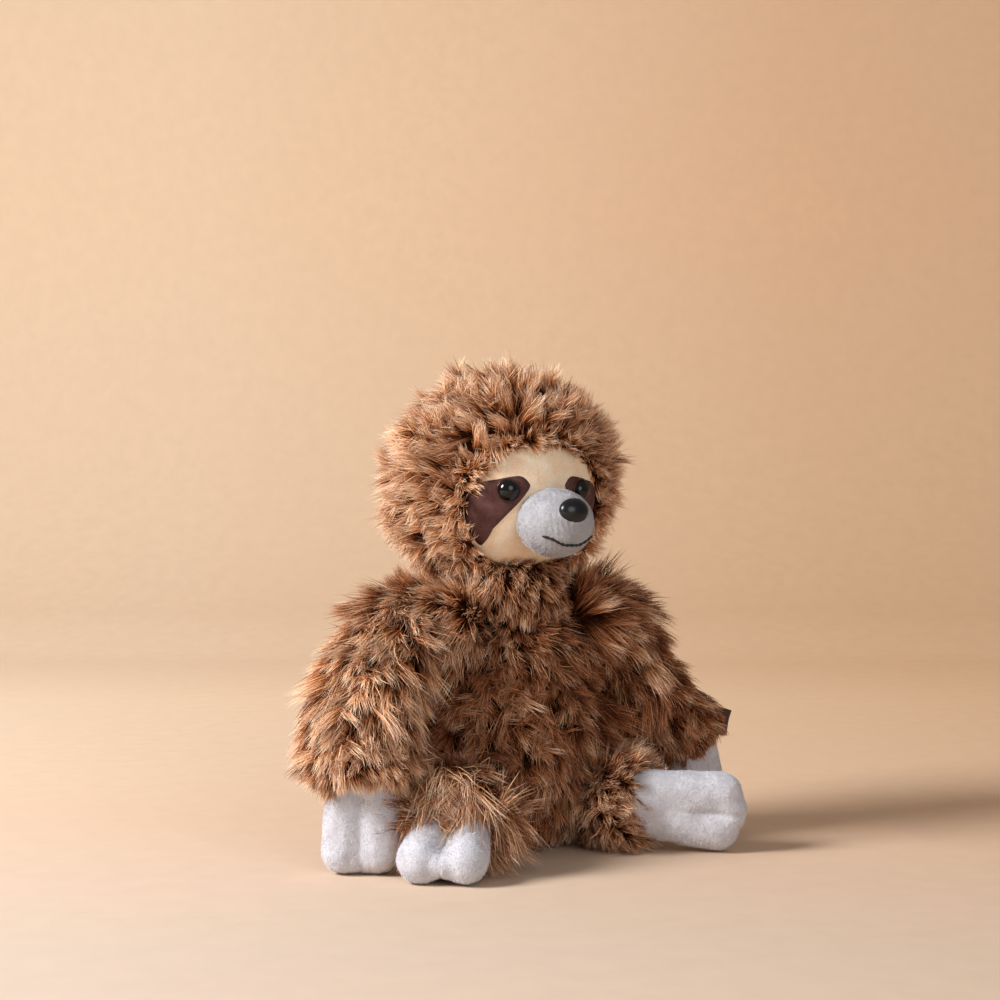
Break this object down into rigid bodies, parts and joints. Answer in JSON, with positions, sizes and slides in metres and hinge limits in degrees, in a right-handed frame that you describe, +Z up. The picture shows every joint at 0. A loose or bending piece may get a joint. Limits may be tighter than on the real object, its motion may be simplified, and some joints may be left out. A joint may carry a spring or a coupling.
{
  "type": "plush sloth",
  "caption": "Soft sitting toy sloth with shaggy brown fur, pale face with dark eye patches, grey muzzle, hands and feet, and a head and limbs that turn on their sewn seams.",
  "frame": {"origin": "on the floor, under the middle of the seat, on the flat underside of the body's fur", "axes": "+Z up, -Y the way the sloth faces, +X to the sloth's own left"},
  "size_m": [0.2571, 0.1543, 0.2475],
  "materials": {
    "fur": "long shaggy pile, two-tone red-brown with pale tips",
    "grey_plush": "short grey plush",
    "cream_cloth": "short cream plush",
    "plum_cloth": "short dark plum plush",
    "black_plastic": "glossy black",
    "white_plastic": "matte white, hidden inside",
    "stuffing": "soft white fibre filling",
    "pouch_cloth": "plain woven pouch, hidden inside",
    "brown_thread": "strong brown sewing thread",
    "black_thread": "black embroidery thread",
    "brown_label": "plain dark brown woven ribbon, nothing on it"
  },
  "bodies": {
    "body": {"body_fur": "fur", "body_stuffing": "stuffing", "seat_pellet_pouch": "pouch_cloth"},
    "neck_ring": {"neck_seam": "brown_thread"},
    "head": {"eye_left": "black_plastic", "eye_patch_left": "plum_cloth", "eye_patch_right": "plum_cloth", "eye_right": "black_plastic", "eye_washer_left": "white_plastic", "eye_washer_right": "white_plastic", "face_panel": "cream_cloth", "head_fur": "fur", "head_stuffing": "stuffing", "mouth_stitch": "black_thread", "muzzle": "grey_plush", "muzzle_stuffing": "stuffing", "nose": "black_plastic", "nose_washer": "white_plastic"},
    "shoulder_ring_left": {"shoulder_seam_left": "brown_thread"},
    "arm_left": {"arm_fur_left": "fur", "arm_stuffing_left": "stuffing", "sewn_label": "brown_label"},
    "hand_left": {"hand_left": "grey_plush", "hand_left_stuffing": "stuffing"},
    "hip_ring_left": {"hip_seam_left": "brown_thread"},
    "leg_left": {"leg_fur_left": "fur", "leg_stuffing_left": "stuffing"},
    "foot_left": {"foot_left": "grey_plush", "foot_left_stuffing": "stuffing"},
    "shoulder_ring_right": {"shoulder_seam_right": "brown_thread"},
    "arm_right": {"arm_fur_right": "fur", "arm_stuffing_right": "stuffing"},
    "hand_right": {"hand_right": "grey_plush", "hand_right_stuffing": "stuffing"},
    "hip_ring_right": {"hip_seam_right": "brown_thread"},
    "leg_right": {"leg_fur_right": "fur", "leg_stuffing_right": "stuffing"},
    "foot_right": {"foot_right": "grey_plush", "foot_right_stuffing": "stuffing"}
  },
  "joints": [
    {"name": "neck_turn", "type": "hinge", "parent": "body", "child": "neck_ring", "pos_m": [0, 0, 0.128], "axis": [0, 0, 1], "range_deg": [-45, 45]},
    {"name": "head_nod", "type": "hinge", "parent": "neck_ring", "child": "head", "pos_m": [0, 0, 0.128], "axis": [1, 0, 0], "range_deg": [-18, 16]},
    {"name": "shoulder_swing_left", "type": "hinge", "parent": "body", "child": "shoulder_ring_left", "pos_m": [0.057, -0.003, 0.112], "axis": [-0.9397, -0.342, 0], "range_deg": [-18, 77]},
    {"name": "shoulder_lift_left", "type": "hinge", "parent": "shoulder_ring_left", "child": "arm_left", "pos_m": [0.057, -0.003, 0.112], "axis": [0.342, -0.9397, 0], "range_deg": [0, 55]},
    {"name": "wrist_left", "type": "hinge", "parent": "arm_left", "child": "hand_left", "pos_m": [0.101, -0.017, 0.052], "axis": [-0.8397, -0.4465, -0.309], "range_deg": [-25, 25]},
    {"name": "hip_splay_left", "type": "hinge", "parent": "body", "child": "hip_ring_left", "pos_m": [0.036, -0.025, 0.0245], "axis": [0, 0, 1], "range_deg": [-14, 5]},
    {"name": "hip_flex_left", "type": "hinge", "parent": "hip_ring_left", "child": "leg_left", "pos_m": [0.036, -0.025, 0.0245], "axis": [-0.8387, -0.5446, 0], "range_deg": [-42, 18]},
    {"name": "ankle_left", "type": "hinge", "parent": "leg_left", "child": "foot_left", "pos_m": [0.05125, -0.04848, 0.0245], "axis": [0.0301, -0.1421, 0.9894], "range_deg": [-18, 18]},
    {"name": "shoulder_swing_right", "type": "hinge", "parent": "body", "child": "shoulder_ring_right", "pos_m": [-0.057, -0.003, 0.112], "axis": [-0.9397, 0.342, 0], "range_deg": [-18, 77]},
    {"name": "shoulder_lift_right", "type": "hinge", "parent": "shoulder_ring_right", "child": "arm_right", "pos_m": [-0.057, -0.003, 0.112], "axis": [0.342, 0.9397, 0], "range_deg": [0, 55]},
    {"name": "wrist_right", "type": "hinge", "parent": "arm_right", "child": "hand_right", "pos_m": [-0.097, -0.038, 0.052], "axis": [-0.8829, 0.4695, 0], "range_deg": [-25, 25]},
    {"name": "hip_splay_right", "type": "hinge", "parent": "body", "child": "hip_ring_right", "pos_m": [-0.036, -0.025, 0.0245], "axis": [0, 0, -1], "range_deg": [-14, 5]},
    {"name": "hip_flex_right", "type": "hinge", "parent": "hip_ring_right", "child": "leg_right", "pos_m": [-0.036, -0.025, 0.0245], "axis": [-0.8387, 0.5446, 0], "range_deg": [-42, 18]},
    {"name": "ankle_right", "type": "hinge", "parent": "leg_right", "child": "foot_right", "pos_m": [-0.05125, -0.04848, 0.0245], "axis": [-0.7986, 0.6018, 0], "range_deg": [-18, 18]}
  ]
}
